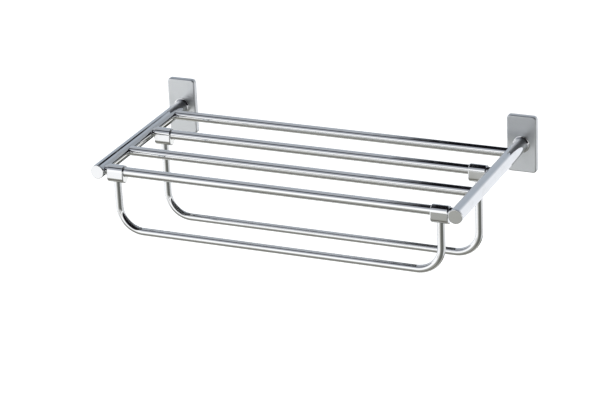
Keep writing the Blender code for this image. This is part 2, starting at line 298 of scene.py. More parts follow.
class Wiring:
    """Short calls that add and link nodes in one tree."""

    def __init__(self, tree: Tree) -> None:
        """Works on this tree."""
        self.tree = tree

    def node(self, kind: str, **settings: object) -> bpy.types.Node:
        """Adds a node and sets its properties."""
        made = self.tree.nodes.new(kind)
        for name, value in settings.items():
            setattr(made, name, value)
        return made

    def feed(self, socket: Socket, value: object) -> None:
        """Links a socket into an input, or sets the input's own value."""
        if isinstance(value, Socket):
            self.tree.links.new(value, socket)
        else:
            socket.default_value = value

    def math(self, operation: str, *values: object, clamp: bool = False) -> Socket:
        """The result of a Math node."""
        made = self.node("ShaderNodeMath", operation=operation, use_clamp=clamp)
        for socket, value in zip(made.inputs, values):
            self.feed(socket, value)
        return made.outputs[0]

    def vector(self, operation: str, *values: object) -> Socket:
        """The result of a Vector Math node."""
        made = self.node("ShaderNodeVectorMath", operation=operation)
        for socket, value in zip(made.inputs, values):
            self.feed(socket, value)
        return made.outputs["Value" if operation == "DOT_PRODUCT" else "Vector"]

    def step(self, value: Socket, low: object, high: object, start: float = 0.0, end: float = 1.0) -> Socket:
        """A smooth step from start to end as a value goes from low to high."""
        made = self.node("ShaderNodeMapRange", interpolation_type="SMOOTHSTEP")
        for socket, given in zip(made.inputs, (value, low, high, start, end)):
            self.feed(socket, given)
        return made.outputs[0]

    def noise(self, vector: object, scale: object, detail: float) -> Socket:
        """A noise value over the surface."""
        made = self.node("ShaderNodeTexNoise")
        self.feed(made.inputs["Vector"], vector)
        self.feed(made.inputs["Scale"], scale)
        made.inputs["Detail"].default_value = detail
        return made.outputs["Fac"]

    def mix(self, share: object, first: object, second: object) -> Socket:
        """A blend of two colours."""
        made = self.node("ShaderNodeMix", data_type="RGBA")
        for name, value in zip(("Factor_Float", "A_Color", "B_Color"), (share, first, second)):
            self.feed(next(socket for socket in made.inputs if socket.identifier == name), value)
        return next(socket for socket in made.outputs if socket.identifier == "Result_Color")

    def bump(self, height: Socket, distance: float, under: Socket | None = None) -> Socket:
        """A normal bumped by a height given in shares of a distance, over the normal under it."""
        made = self.node("ShaderNodeBump")
        made.inputs["Distance"].default_value = distance
        self.feed(made.inputs["Height"], height)
        if under is not None:
            self.feed(made.inputs["Normal"], under)
        return made.outputs["Normal"]

    def either(self, choice: Socket, usual: Socket, chosen: Socket) -> Socket:
        """The usual shader where the choice is 0, and the chosen one where it is 1."""
        made = self.node("ShaderNodeMixShader")
        for socket, value in zip(made.inputs, (choice, usual, chosen)):
            self.feed(socket, value)
        return made.outputs[0]

    def group(self, tree: Tree, **values: object) -> bpy.types.Node:
        """Places a group and feeds its inputs, where a_name stands for the input "A name"."""
        made = self.node("ShaderNodeGroup", node_tree=tree)
        for name, value in values.items():
            self.feed(made.inputs[name.replace("_", " ").capitalize()], value)
        return made


class SurfaceGroup(Wiring):
    """A node group under construction, with named inputs and outputs."""

    def __init__(self, name: str) -> None:
        """Starts an empty group."""
        super().__init__(bpy.data.node_groups.new(name, "ShaderNodeTree"))
        self.entry = self.node("NodeGroupInput")
        self.exit = self.node("NodeGroupOutput")

    def takes(self, name: str, kind: str = "Float", value: object = None) -> Socket:
        """Adds an input and returns the socket that hands it on."""
        socket = self.tree.interface.new_socket(name=name, in_out="INPUT", socket_type=f"NodeSocket{kind}")
        if value is not None:
            socket.default_value = value
        return self.entry.outputs[name]

    def takes_each(self, kind: str, *names: str) -> list[Socket]:
        """Adds several inputs of one kind."""
        return [self.takes(name, kind) for name in names]

    def within(self, offset: Socket, half: Socket, softness: Socket) -> Socket:
        """1 where an offset is under half and 0 where it is over, with a soft edge between."""
        inner, outer = self.math("SUBTRACT", half, softness), self.math("ADD", half, softness)
        return self.step(offset, inner, outer, 1.0, 0.0)

    def gives(self, name: str, source: Socket, kind: str = "Float") -> None:
        """Adds an output fed by a socket."""
        self.tree.interface.new_socket(name=name, in_out="OUTPUT", socket_type=f"NodeSocket{kind}")
        self.tree.links.new(source, self.exit.inputs[name])


class Grain(Enum):
    """The way a surface was polished or rolled, as how much finer the marks are along X, Y and Z."""

    ALONG_X = (0.02, 1.0, 1.0)
    ALONG_Y = (1.0, 0.02, 1.0)
    ALONG_Z = (1.0, 1.0, 0.02)
    EVEN = (1.0, 1.0, 1.0)


def plating_group() -> Tree:
    """Slow waves in a polished tube or casting, with the finer orange peel of the plating."""
    group = SurfaceGroup("plating_wave")
    size = group.takes("Wave size", value=30.0)
    peel = group.takes("Peel share", value=0.1)
    place = group.node("ShaderNodeTexCoord").outputs["Object"]
    slow = group.noise(place, size, 1.0)
    fine = group.noise(place, group.math("MULTIPLY", size, 14.0), 2.0)
    group.gives("Height", group.math("MULTIPLY_ADD", fine, peel, slow))
    return group.tree


def polish_group() -> Tree:
    """Fine lines left by a polishing belt or a press, drawn out along one way."""
    group = SurfaceGroup("polish_lines")
    way = group.takes("Way", "Vector")
    size = group.takes("Line size", value=2500.0)
    place = group.vector("MULTIPLY", group.node("ShaderNodeTexCoord").outputs["Object"], way)
    lines = group.noise(place, size, 3.0)
    patches = group.noise(place, group.math("MULTIPLY", size, 0.02), 1.0)
    group.gives("Height", lines)
    group.gives("Mask", group.math("MULTIPLY", group.step(lines, 0.45, 0.75), group.step(patches, 0.35, 0.7)))
    return group.tree


def haze_group() -> Tree:
    """Faint smears and dried droplets, which dull the shine here and there."""
    group = SurfaceGroup("handling_haze")
    size = group.takes("Smear size", value=40.0)
    place = group.node("ShaderNodeTexCoord").outputs["Object"]
    smears = group.step(group.noise(place, size, 4.0), 0.46, 0.72)
    spots = group.node("ShaderNodeTexVoronoi", feature="DISTANCE_TO_EDGE")
    group.feed(spots.inputs["Vector"], place)
    group.feed(spots.inputs["Scale"], group.math("MULTIPLY", size, 9.0))
    rims = group.math("MULTIPLY", group.step(spots.outputs["Distance"], 0.05, 0.0), smears)
    group.gives("Smears", smears)
    group.gives("Rims", rims)
    return group.tree


def spangle_group() -> Tree:
    """The crystal patches of a zinc coat or the scale of blackened steel."""
    group = SurfaceGroup("metal_spangle")
    size = group.takes("Patch size", value=900.0)
    place = group.node("ShaderNodeTexCoord").outputs["Object"]
    cells = group.node("ShaderNodeTexVoronoi")
    group.feed(cells.inputs["Vector"], place)
    group.feed(cells.inputs["Scale"], size)
    split = group.node("ShaderNodeSeparateColor")
    group.feed(split.inputs["Color"], cells.outputs["Color"])
    cloud = group.noise(place, group.math("MULTIPLY", size, 0.2), 3.0)
    group.gives("Patches", split.outputs["Red"])
    group.gives("Cloud", cloud)
    return group.tree


def bare_metal(name: str) -> tuple[bpy.types.Material, Wiring, bpy.types.Node]:
    """A new metal material, with the wiring of its tree and its shader."""
    made = bpy.data.materials.new(name)
    made.use_nodes = True
    shader = made.node_tree.nodes["Principled BSDF"]
    shader.inputs["Metallic"].default_value = 1.0
    return made, Wiring(made.node_tree), shader


CHROME_TINT = (0.80, 0.81, 0.825)
CHROME_VEIL = (0.775, 0.78, 0.785)
SATIN = {"tint": (0.74, 0.765, 0.79), "veil": (0.72, 0.745, 0.77)}


@dataclass(frozen=True)
class PlatedFinish:
    """Metal under bright chrome plate.

    Roughness runs from clean to smeared, and the wave depth is how far the polished surface strays
    from true, in metres. The tint is the clean colour and the veil the colour of the smears.
    """

    name: str
    roughness: Point
    wave_size: float
    wave_depth: float
    grain: Grain
    line_depth: float = 0.0000006
    tint: Colour = CHROME_TINT
    veil: Colour = CHROME_VEIL
    smear_size: float = 38.0
    line_size: float = 2600.0
    peel_share: float = 0.035
    rim_roughness: float = 0.05

    def material(self, groups: Groups) -> bpy.types.Material:
        """Builds the material.

        Args:
            groups: The shared shader groups by name.

        Returns:
            The material.
        """
        made, wiring, shader = bare_metal(self.name)
        haze = wiring.group(groups["haze"], smear_size=self.smear_size)
        lines = wiring.group(groups["polish"], way=self.grain.value, line_size=self.line_size)
        wave = wiring.group(groups["plating"], wave_size=self.wave_size, peel_share=self.peel_share)
        colour = wiring.mix(haze.outputs["Smears"], (*self.tint, 1), (*self.veil, 1))
        wiring.feed(shader.inputs["Base Color"], colour)
        marks = wiring.math("MAXIMUM", haze.outputs["Smears"], lines.outputs["Mask"])
        rough = wiring.step(marks, 0.0, 1.0, *self.roughness)
        rims = wiring.math("MULTIPLY_ADD", haze.outputs["Rims"], self.rim_roughness, rough)
        wiring.feed(shader.inputs["Roughness"], rims)
        slow = wiring.bump(wave.outputs["Height"], self.wave_depth)
        wiring.feed(shader.inputs["Normal"], wiring.bump(lines.outputs["Height"], self.line_depth, slow))
        return made


@dataclass(frozen=True)
class WorkingMetalFinish:
    """Metal that isn't for show: zinc-coated sheet, or a screw's blackened steel."""

    name: str
    dark: Colour
    light: Colour
    roughness: float
    patch_size: float
    grain: Grain
    line_size: float = 1500.0
    smear_size: float = 60.0
    patch_share: float = 0.45
    smear_roughness: float = 0.12
    line_roughness: float = 0.08
    relief: float = 0.00002

    def material(self, groups: Groups) -> bpy.types.Material:
        """Builds the material.

        Args:
            groups: The shared shader groups by name.

        Returns:
            The material.
        """
        made, wiring, shader = bare_metal(self.name)
        spangle = wiring.group(groups["spangle"], patch_size=self.patch_size)
        lines = wiring.group(groups["polish"], way=self.grain.value, line_size=self.line_size)
        haze = wiring.group(groups["haze"], smear_size=self.smear_size)
        patches, cloud = spangle.outputs["Patches"], spangle.outputs["Cloud"]
        share = wiring.math("MULTIPLY_ADD", patches, self.patch_share, cloud)
        wiring.feed(shader.inputs["Base Color"], wiring.mix(share, (*self.dark, 1), (*self.light, 1)))
        smeared = wiring.math("MULTIPLY_ADD", haze.outputs["Smears"], self.smear_roughness, self.roughness)
        rough = wiring.math("MULTIPLY_ADD", lines.outputs["Mask"], self.line_roughness, smeared)
        wiring.feed(shader.inputs["Roughness"], rough)
        height = wiring.math("ADD", cloud, lines.outputs["Height"])
        wiring.feed(shader.inputs["Normal"], wiring.bump(height, self.relief))
        return made


FINISHES = (
    PlatedFinish("arm_chrome", (0.035, 0.085), 26.0, 0.00012, Grain.ALONG_Y),
    PlatedFinish("bar_chrome", (0.035, 0.085), 30.0, 0.00006, Grain.ALONG_X),
    PlatedFinish("rail_chrome", (0.04, 0.09), 34.0, 0.00008, Grain.ALONG_X),
    PlatedFinish("block_chrome", (0.04, 0.09), 60.0, 0.00006, Grain.EVEN, 0.0000004),
    PlatedFinish("cover_chrome", (0.38, 0.42), 18.0, 0.00003, Grain.ALONG_Z, **SATIN),
    PlatedFinish("fitting_chrome", (0.035, 0.08), 60.0, 0.00003, Grain.EVEN, 0.0000004),
    WorkingMetalFinish("bracket_zinc", (0.42, 0.43, 0.45), (0.66, 0.67, 0.68), 0.32, 700.0, Grain.ALONG_X),
    WorkingMetalFinish("screw_steel", (0.16, 0.16, 0.17), (0.34, 0.34, 0.35), 0.3, 2600.0, Grain.EVEN),
)


# ---------------------------------------------------------------------------------------------
# Pieces
# ---------------------------------------------------------------------------------------------


@dataclass(frozen=True)
class Room:
    """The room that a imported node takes."""

    low: Vector
    high: Vector

    @property
    def middle(self) -> Vector:
        """The middle of the room."""
        return (self.low + self.high) / 2

    @property
    def size(self) -> Vector:
        """The room's size along X, Y and Z."""
        return self.high - self.low

    def half(self, axis: Vector) -> float:
        """Half of the room's size along an axis."""
        return abs(self.size.dot(axis)) / 2


@cache
def room_of(node: str) -> Room:
    """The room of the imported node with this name."""
    return Room(*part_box(node))


class Packed:
    """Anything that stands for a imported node, whose name follows from its own fields."""

    pattern: ClassVar[str]

    @property
    def node(self) -> str:
        """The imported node's name."""
        return self.pattern.format(**vars(self))

    @property
    def room(self) -> Room:
        """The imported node's room."""
        return room_of(self.node)


@dataclass(frozen=True)
class Workshop:
    """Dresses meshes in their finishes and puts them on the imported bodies."""

    materials: dict[str, bpy.types.Material]

    def place(self, name: str, mesh: Mesh, finish: str, node: str, body: str = SHELF) -> None:
        """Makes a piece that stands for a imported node.

        Args:
            name: The piece's name.
            mesh: Its mesh, in the row frame.
            finish: The material slot that it takes its finish from.
            node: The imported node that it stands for.
            body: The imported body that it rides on.
        """
        mesh.name = name
        mesh.materials.clear()
        mesh.materials.append(self.materials[finish])
        piece = bpy.data.objects.new(name, mesh)
        bpy.context.scene.collection.objects.link(piece)
        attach(piece, body)
        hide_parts(node)
        LOG.info("%s: %d faces, %s, on %s", name, len(mesh.polygons), finish, body)


@dataclass(frozen=True)
class SocketScrew:
    """A headless screw with a hexagon socket in its outer end."""

    node: str
    outwards: Vector
    body: str = SHELF
    sides: int = 48
    tip_cone: float = 0.35
    rim: float = 0.12
    socket_share: float = 0.56
    socket_depth: float = 0.9
    mouth: float = 0.1
    drill_radius: float = 0.1
    drill_depth: float = 1.25

    @property
    def room(self) -> Room:
        """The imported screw's room."""
        return room_of(self.node)

    @property
    def radius(self) -> float:
        """The screw's outer radius."""
        return min(self.room.half(axis) for axis in (ALONG, OUT, UP))

    @property
    def outer_end(self) -> Vector:
        """The middle of the end with the socket."""
        return self.room.middle + self.outwards * self.room.half(self.outwards)

    def hexagon(self, height: float, share: float, place: Matrix) -> Ring:
        """A ring of points on the socket's hexagon, at a height and a share of its size."""
        ring = []
        for k in range(self.sides):
            angle = tau * k / self.sides
            reach = self.radius * self.socket_share * share / cos(angle % (pi / 3) - pi / 6)
            ring.append(place @ Vector((reach * cos(angle), reach * sin(angle), height)))
        return ring

    def mesh(self) -> Mesh:
        """The screw, from the cone at its tip to the drilled bottom of its socket."""
        length = 2 * self.room.half(self.outwards)
        place = facing(self.outer_end - self.outwards * length, self.outwards)
        radius, rim = self.radius, self.radius * self.rim
        cone = self.radius * self.tip_cone
        depth = min(self.radius * self.socket_depth, length / 2)
        outside = [(radius - cone, 0), (radius, cone), (radius, length - rim), (radius - rim, length)]
        rings = [circle(reach, height, self.sides, place) for reach, height in outside]
        rings.append(self.hexagon(length, 1 + self.mouth, place))
        rings.append(self.hexagon(length - self.mouth * radius, 1.0, place))
        rings.append(self.hexagon(length - depth, 1.0, place))
        rings.append(circle(radius * self.drill_radius, length - depth * self.drill_depth, self.sides, place))
        mesh = skin(rings, Ends.CAPPED)
        shade(mesh, lathe_rule(self.outer_end, self.outwards))
        return mesh

    def hole(self, clearance: float = 0.00015, reach: float = 0.02) -> Mesh:
        """A cutting tool for the screw's hole, from its tip out past its outer end."""
        start = self.outer_end - self.outwards * 2 * self.room.half(self.outwards)
        return rod(self.radius + clearance, start, self.outer_end + self.outwards * reach, self.sides)

    def build(self, shop: Workshop, name: str) -> None:
        """Makes the screw."""
        shop.place(name, self.mesh(), "screw_steel", self.node, self.body)


@dataclass(frozen=True)
class ShelfBar(Packed):
    """A round tube from arm to arm."""

    pattern: ClassVar[str] = "shelf_bar_{number}"
    number: int
    wall: float = 0.001
    edge: float = 0.0003
    sides: int = 96

    @property
    def radius(self) -> float:
        """The bar's outer radius."""
        return self.room.half(UP)

    def hole(self, start_x: float, end_x: float, clearance: float) -> Mesh:
        """A cutting tool for a hole that the bar passes through."""
        middle = self.room.middle
        start, end = (Vector((x, middle.y, middle.z)) for x in (start_x, end_x))
        return rod(self.radius + clearance, start, end, self.sides)

    def build(self, shop: Workshop) -> None:
        """Makes the bar."""
        room, radius = self.room, self.radius
        start = Vector((room.low.x, room.middle.y, room.middle.z))
        section = tube_section(radius, radius - self.wall, room.size.x, self.edge)
        mesh = turned(section, facing(start, ALONG), self.sides, Ends.JOINED)
        shade(mesh, lathe_rule(start, ALONG))
        shop.place(f"bar_{self.number}", mesh, "bar_chrome", self.node)


@dataclass(frozen=True)
class Arm(Packed):
    """A round tube that stands out from a post, with holes for the bars, and the cap in its end."""

    pattern: ClassVar[str] = "arm_tube_{side}"
    side: str
    wall: float = 0.0014
    edge: float = 0.0004
    sides: int = 112
    bar_clearance: float = 0.0001
    cap_edge: float = 0.0007
    cap_back_edge: float = 0.00025
    cap_step_edge: float = 0.00005
    cap_core: float = 0.5
    cap_edge_steps: int = 6

    def screws(self) -> dict[str, SocketScrew]:
        """The set screws under the arm by the name of their piece."""
        found = {f"{self.side}_arm_screw": SocketScrew(f"arm_set_screw_{self.side}", -UP)}
        for number in BARS:
            found[f"{self.side}_bar_{number}_screw"] = SocketScrew(f"bar_{number}_set_screw_{self.side}", -UP)
        return found

    def tube(self) -> Mesh:
        """The tube with its holes."""
        room = self.room
        radius = room.half(ALONG)
        start = Vector((room.middle.x, room.high.y, room.middle.z))
        section = tube_section(radius, radius - self.wall, room.size.y, self.edge)
        mesh = turned(section, facing(start, OUT), self.sides, Ends.JOINED)
        inner_x = start.x - SIDES[self.side] * 2 * radius
        holes = [ShelfBar(number).hole(start.x, inner_x, self.bar_clearance) for number in BARS]
        holes += [screw.hole() for screw in self.screws().values()]
        mesh = cut(mesh, holes)
        shade(mesh, lathe_rule(start, OUT))
        return mesh

    def cap(self) -> Mesh:
        """The cap's disc, with a soft front edge, and the spigot behind it."""
        room = room_of(f"arm_cap_{self.side}")
        radius = room.half(ALONG)
        spigot = radius - self.wall - FIT
        disc = self.room.low.y - room.low.y - FIT
        front = room.size.y
        corners = [
            (spigot * self.cap_core, 0, 0),
            (spigot, 0, self.cap_back_edge),
            (spigot, front - disc, self.cap_step_edge),
            (radius, front - disc, self.cap_back_edge),
            (radius, front, self.cap_edge),
            (spigot * self.cap_core, front, 0),
        ]
        back = Vector((room.middle.x, room.high.y, room.middle.z))
        mesh = turned(rounded(corners, self.cap_edge_steps), facing(back, OUT), self.sides)
        shade(mesh, lathe_rule(back, OUT))
        return mesh

    def build(self, shop: Workshop) -> None:
        """Makes the arm, its cap and its screws."""
        shop.place(f"{self.side}_arm", self.tube(), "arm_chrome", self.node)
        shop.place(f"{self.side}_arm_cap", self.cap(), "fitting_chrome", f"arm_cap_{self.side}")
        for name, screw in self.screws().items():
            screw.build(shop, name)


@dataclass(frozen=True)
class Post(Packed):
    """The turned post that carries an arm, with the screw and washer that draw it to its cover."""

    pattern: ClassVar[str] = "arm_post_{side}"
    side: str
    neck_radius: float = 0.0105
    rim: float = 0.0012
    rim_edge: float = 0.0004
    flare: float = 0.0062
    flare_steps: int = 14
    tenon_radius: float = 0.006
    tenon_length: float = 0.0012
    spigot_edge: float = 0.0006
    bore_radius: float = 0.0033
    bore_front: float = 0.0198
    arm_wall: float = 0.0014
    core: float = 0.5
    drill_radius: float = 0.1
    drill_depth: float = 0.001
    head_height: float = 0.0032
    head_dome: float = 0.45
    head_steps: int = 6
    socket_depth: float = 0.6
    socket_drill: float = 0.75
    socket_core: float = 0.2
    tip: float = 0.7
    pitch: float = 0.0008
    thread: float = 0.0003
    sides: int = 96
    screw_sides: int = 48

    @property
    def place(self) -> Matrix:
        """A place on the wall whose local Z is the depth from the wall."""
        return facing(Vector((self.room.middle.x, 0, self.room.middle.z)), OUT)

    def profile(self) -> list[Point]:
        """The outline from the front of the spigot back to the tenon and up its bore."""
        arm = room_of(f"arm_tube_{self.side}")
        shoulder = -arm.high.y - FIT
        spigot = arm.half(ALONG) - self.arm_wall - FIT
        base = self.room.half(ALONG)
        front, back = -self.room.low.y, -self.room.high.y
        seat = back + self.tenon_length
        top = seat + self.rim
        points = [(spigot * self.core, front), (spigot - self.spigot_edge, front)]
        points += [(spigot, front - self.spigot_edge), (spigot, shoulder)]
        for across, along in quarter(self.flare_steps):
            radius = self.neck_radius + (base - self.neck_radius) * (1 - across)
            points.append((radius, top + self.flare * (1 - along)))
        points += [(base, seat + self.rim_edge), (base - self.rim_edge, seat)]
        points += [(self.tenon_radius, seat), (self.tenon_radius, back), (self.bore_radius, back)]
        points.append((self.bore_radius, self.bore_front))
        points.append((self.bore_radius * self.drill_radius, self.bore_front + self.drill_depth))
        return points

    def build(self, shop: Workshop) -> None:
        """Makes the post, its screw and its washer."""
        hole = SocketScrew(f"arm_set_screw_{self.side}", -UP).hole()
        post = cut(turned(self.profile(), self.place, self.sides), [hole])
        shade(post, lathe_rule(self.room.middle, OUT))
        shop.place(f"{self.side}_post", post, "fitting_chrome", self.node)
        self.build_washer(shop)
        self.build_screw(shop)

    def build_washer(self, shop: Workshop) -> None:
        """Makes the washer, a ring with stamped soft edges."""
        room = room_of(f"post_washer_{self.side}")
        outer, back, front = room.half(ALONG), -room.high.y, -room.low.y
        edge = (front - back) / 4
        corners = [(outer, back, edge), (outer, front, edge / 2), (self.bore_radius, front, edge / 2)]
        corners.append((self.bore_radius, back, edge))
        mesh = turned(rounded(corners, EDGE_STEPS, closed=True), self.place, self.sides, Ends.JOINED)
        shade(mesh, lathe_rule(room.middle, OUT))
        shop.place(f"{self.side}_post_washer", mesh, "bracket_zinc", f"post_washer_{self.side}")

    def build_screw(self, shop: Workshop) -> None:
        """Makes the post screw: threaded shank, domed head and hexagon socket."""
        room = room_of(f"post_screw_{self.side}")
        head, back, front = room.half(ALONG), -room.high.y, -room.low.y
        shank = self.bore_radius - FIT
        height, pitch = self.head_height, self.pitch
        socket = head / 2
        points = [(socket * self.socket_core, back + height * self.socket_drill)]
        points += [(socket, back + height * self.socket_depth), (socket, back)]
        dome = [(socket, back, 0), (head, back, height * self.head_dome), (head, back + height, 0)]
        points += rounded(dome, self.head_steps)[1:]
        points.append((shank, back + height))
        depth = back + height + pitch
        while depth < front - pitch:
            points += [(shank, depth), (shank - self.thread, depth + pitch / 2)]
            depth += pitch
        points += [(shank, front - pitch / 2), (shank * self.tip, front)]
        mesh = turned(points, self.place, self.screw_sides)
        shade(mesh, lathe_rule(room.middle, OUT))
        shop.place(f"{self.side}_post_screw", mesh, "screw_steel", f"post_screw_{self.side}")


CORNER_STEPS = 8
SIDE_PARTS = 12


def rounded_rectangle(width: float, height: float, corner: float) -> list[Point]:
    """The outline of a rounded rectangle.

    Args:
        width: Its full width.
        height: Its full height.
        corner: The radius of its corners.

    Returns:
        The points, the same number for any size.
    """
    points: list[Point] = []
    centres = [(1, 1), (-1, 1), (-1, -1), (1, -1)]
    for index, (right, up) in enumerate(centres):
        for step in range(CORNER_STEPS + 1):
            angle = pi / 2 * (index + step / CORNER_STEPS)
            across = right * (width / 2 - corner) + corner * cos(angle)
            along = up * (height / 2 - corner) + corner * sin(angle)
            points.append((across, along))
        far = centres[(index + 1) % 4]
        turn = pi / 2 * (index + 1)
        end_across = far[0] * (width / 2 - corner) + corner * cos(turn)
        end_along = far[1] * (height / 2 - corner) + corner * sin(turn)
        for part in range(1, SIDE_PARTS + 1):
            share = part / (SIDE_PARTS + 1)
            points.append((across + (end_across - across) * share, along + (end_along - along) * share))
    return points


@dataclass(frozen=True)
class WallCover(Packed):
    """A pressed and plated shell with a hole for the post and one for its set screw."""

    pattern: ClassVar[str] = "wall_cover_{side}"
    side: str
    corner: float = 0.006
    edge: float = 0.0022
    sheet: float = 0.0012
    hole_radius: float = 0.0062
    least_corner: float = 0.0004
    lip: float = 0.0002
    edge_steps: int = 8

    def ring(self, inset: float, depth: float) -> Ring:
        """The outline drawn in by an inset, at a depth from the wall."""
        size, middle = self.room.size, self.room.middle
        corner = max(self.corner - inset, self.least_corner)
        outline = rounded_rectangle(size.x - 2 * inset, size.z - 2 * inset, corner)
        return [Vector((middle.x + x, -depth, middle.z + z)) for x, z in outline]

    def hole_ring(self, radius: float, depth: float) -> Ring:
        """A ring round the post's hole, each point on the spoke of one on the outline."""
        middle = self.room.middle
        ring = []
        for point in self.ring(self.edge, depth):
            angle = atan2(point.z - middle.z, point.x - middle.x)
            ring.append(Vector((middle.x + radius * cos(angle), -depth, middle.z + radius * sin(angle))))
        return ring

    def rolled(self, start: float, edge: float, front: float) -> list[Ring]:
        """The rings of an edge rolled from the side round to the front."""
        turns = quarter(self.edge_steps)
        return [self.ring(start + edge * (1 - across), front - edge * (1 - along)) for across, along in turns]

    def build(self, shop: Workshop) -> None:
        """Makes the cover and its set screw."""
        back, front = -self.room.high.y, -self.room.low.y
        inside, lip = front - self.sheet, self.lip
        rings = [self.ring(lip, back), self.ring(0, back + lip)]
        rings += self.rolled(0, self.edge, front)
        rings.append(self.hole_ring(self.hole_radius + lip, front))
        rings += [self.hole_ring(self.hole_radius, depth) for depth in (front - lip, inside)]
        rings += self.rolled(self.sheet, self.edge - self.sheet, inside)[::-1]
        rings += [self.ring(self.sheet, back + lip), self.ring(self.sheet - lip, back)]
        screw = SocketScrew(f"cover_set_screw_{self.side}", -UP)
        mesh = cut(skin(rings, Ends.JOINED), [screw.hole()])
        shade(mesh, lambda point, normal: snap_flat(normal))
        shop.place(f"{self.side}_cover", mesh, "cover_chrome", self.node)
        screw.build(shop, f"{self.side}_cover_screw")


@dataclass(frozen=True)
class WallBracket(Packed):
    """A channel bent from sheet, with holes for the wall screws and for the post screw's head."""

    pattern: ClassVar[str] = "wall_bracket_{side}"
    side: str
    sheet: float = 0.002
    bend: float = 0.0028
    burr: float = 0.0003
    bend_steps: int = 5
    wall_hole_radius: float = 0.0026
    wall_hole_height: float = 0.028
    middle_hole_radius: float = 0.0095

    def section(self, inset: float) -> list[Point]:
        """The channel's outline as depth and height, drawn in by an inset."""
        depth = self.room.size.y - inset
        half = self.room.half(UP) - inset
        sheet, back = self.sheet - inset, inset
        inner_bend = max(self.bend - self.sheet, self.burr)
        lip = self.burr
        corners = [
            (back, half, self.bend),
            (back, -half, self.bend),
            (depth, -half, lip),
            (depth, -half + self.sheet - 2 * inset, lip),
            (sheet, -half + self.sheet - 2 * inset, inner_bend),
            (sheet, half - self.sheet + 2 * inset, inner_bend),
            (depth, half - self.sheet + 2 * inset, lip),
            (depth, half, lip),
        ]
        return rounded(corners, self.bend_steps, closed=True)

    def mesh(self) -> Mesh:
        """The channel with its holes."""
        room = self.room
        stations = [
            (room.low.x, self.burr),
            (room.low.x + self.burr, 0),
            (room.high.x - self.burr, 0),
            (room.high.x, self.burr),
        ]
        middle = Vector((room.middle.x, room.high.y, room.middle.z))
        rings = []
        for x, inset in stations:
            outline = self.section(inset)
            rings.append([Vector((x, middle.y - depth, middle.z + height)) for depth, height in outline])
        holes = [(0, self.middle_hole_radius)]
        holes += [(side * self.wall_hole_height, self.wall_hole_radius) for side in (1, -1)]
        tools = []
        for height, radius in holes:
            hole = middle + UP * height
            tools.append(rod(radius, hole - OUT * self.sheet, hole + OUT * 2 * self.sheet))
        tools.append(SocketScrew(f"cover_set_screw_{self.side}", -UP).hole())
        mesh = cut(skin(rings, Ends.CAPPED), tools)
        shade(mesh, lambda point, normal: snap_flat(normal))
        return mesh

    def build(self, shop: Workshop) -> None:
        """Makes the bracket."""
        shop.place(f"{self.side}_bracket", self.mesh(), "bracket_zinc", self.node)


@dataclass(frozen=True)
class HangerBlock(Packed):
    """A block that turns on a shelf bar, with the rail's leg in its underside."""

    pattern: ClassVar[str] = "{hanger}_block_{side}"
    hanger: str
    side: str
    bar: ShelfBar
    edge: float = 0.0016
    edge_steps: int = 7
    half_round_steps: int = 32
    bore_clearance: float = 0.00025
    bore_chamfer: float = 0.0004
    leg_clearance: float = 0.0002
    leg_radius: float = 0.006
    leg_sides: int = 96

    @property
    def axis(self) -> Vector:
        """The middle of the block on the axis of its bar."""
        return Vector((self.room.middle.x, self.bar.room.middle.y, self.bar.room.middle.z))

    def spokes(self) -> list[tuple[float, float]]:
        """The angle of each point of a ring, and 1 where it belongs to the lower round."""
        upper = [(pi * step / self.half_round_steps, 0.0) for step in range(self.half_round_steps + 1)]
        return upper + [(angle + pi, 1.0) for angle, _ in upper]

    def ring(self, x: float, radius: float, drop: float) -> Ring:
        """A ring of two half rounds about the bar's axis, the lower one dropped.

        Args:
            x: The ring's distance from the block's middle along the bar.
            radius: The radius of both half rounds.
            drop: How far the lower one stands below the upper one.

        Returns:
            The ring's points.
        """
        ring = []
        for angle, lower in self.spokes():
            offset = Vector((x, radius * cos(angle), radius * sin(angle) - drop * lower))
            ring.append(self.axis + offset)
        return ring

    def mesh(self) -> Mesh:
        """The block with its bore, its leg hole and its screw hole."""
        room = self.room
        radius = room.half(OUT)
        drop = room.size.z - 2 * radius
        half = room.half(ALONG)
        bore = self.bar.radius + self.bore_clearance
        rings = []
        for end in (-1, 1):
            arc = []
            for across, along in quarter(self.edge_steps):
                inset = self.edge * (1 - across)
                arc.append(self.ring(end * (half - self.edge * (1 - along)), radius - inset, drop))
            rings += arc[::-1] if end == -1 else arc
        rings.append(self.ring(half, bore + self.bore_chamfer, 0))
        rings.append(self.ring(half - self.bore_chamfer, bore, 0))
        rings.append(self.ring(self.bore_chamfer - half, bore, 0))
        rings.append(self.ring(-half, bore + self.bore_chamfer, 0))
        leg = Vector((self.axis.x, self.axis.y, room_of(f"{self.hanger}_rail").high.z))
        top, bottom = leg + UP * self.leg_clearance, leg - UP * 2 * room.size.z
        leg_hole = rod(self.leg_radius + self.leg_clearance, top, bottom, self.leg_sides)
        mesh = cut(skin(rings, Ends.JOINED), [leg_hole, self.screw().hole()])

        def true_normal(point: Vector, normal: Vector) -> Vector | None:
            """Flat ends and sides, and the two rounds."""
            centre = self.axis if point.z > self.axis.z - drop / 2 else self.axis - UP * drop
            return snap_flat(normal) or round_about(point, ALONG, centre, normal)

        shade(mesh, true_normal)
        return mesh

    def screw(self) -> SocketScrew:
        """The screw that grips the leg from the wall side."""
        node = f"{self.hanger}_block_set_screw_{self.side}"
        return SocketScrew(node, -OUT, f"{self.hanger}_hanger")

    def build(self, shop: Workshop) -> None:
        """Makes the block and its screw."""
        name = f"{self.hanger}_{self.side}"
        shop.place(f"{name}_hanger_block", self.mesh(), "block_chrome", self.node, f"{self.hanger}_hanger")
        self.screw().build(shop, f"{name}_hanger_screw")


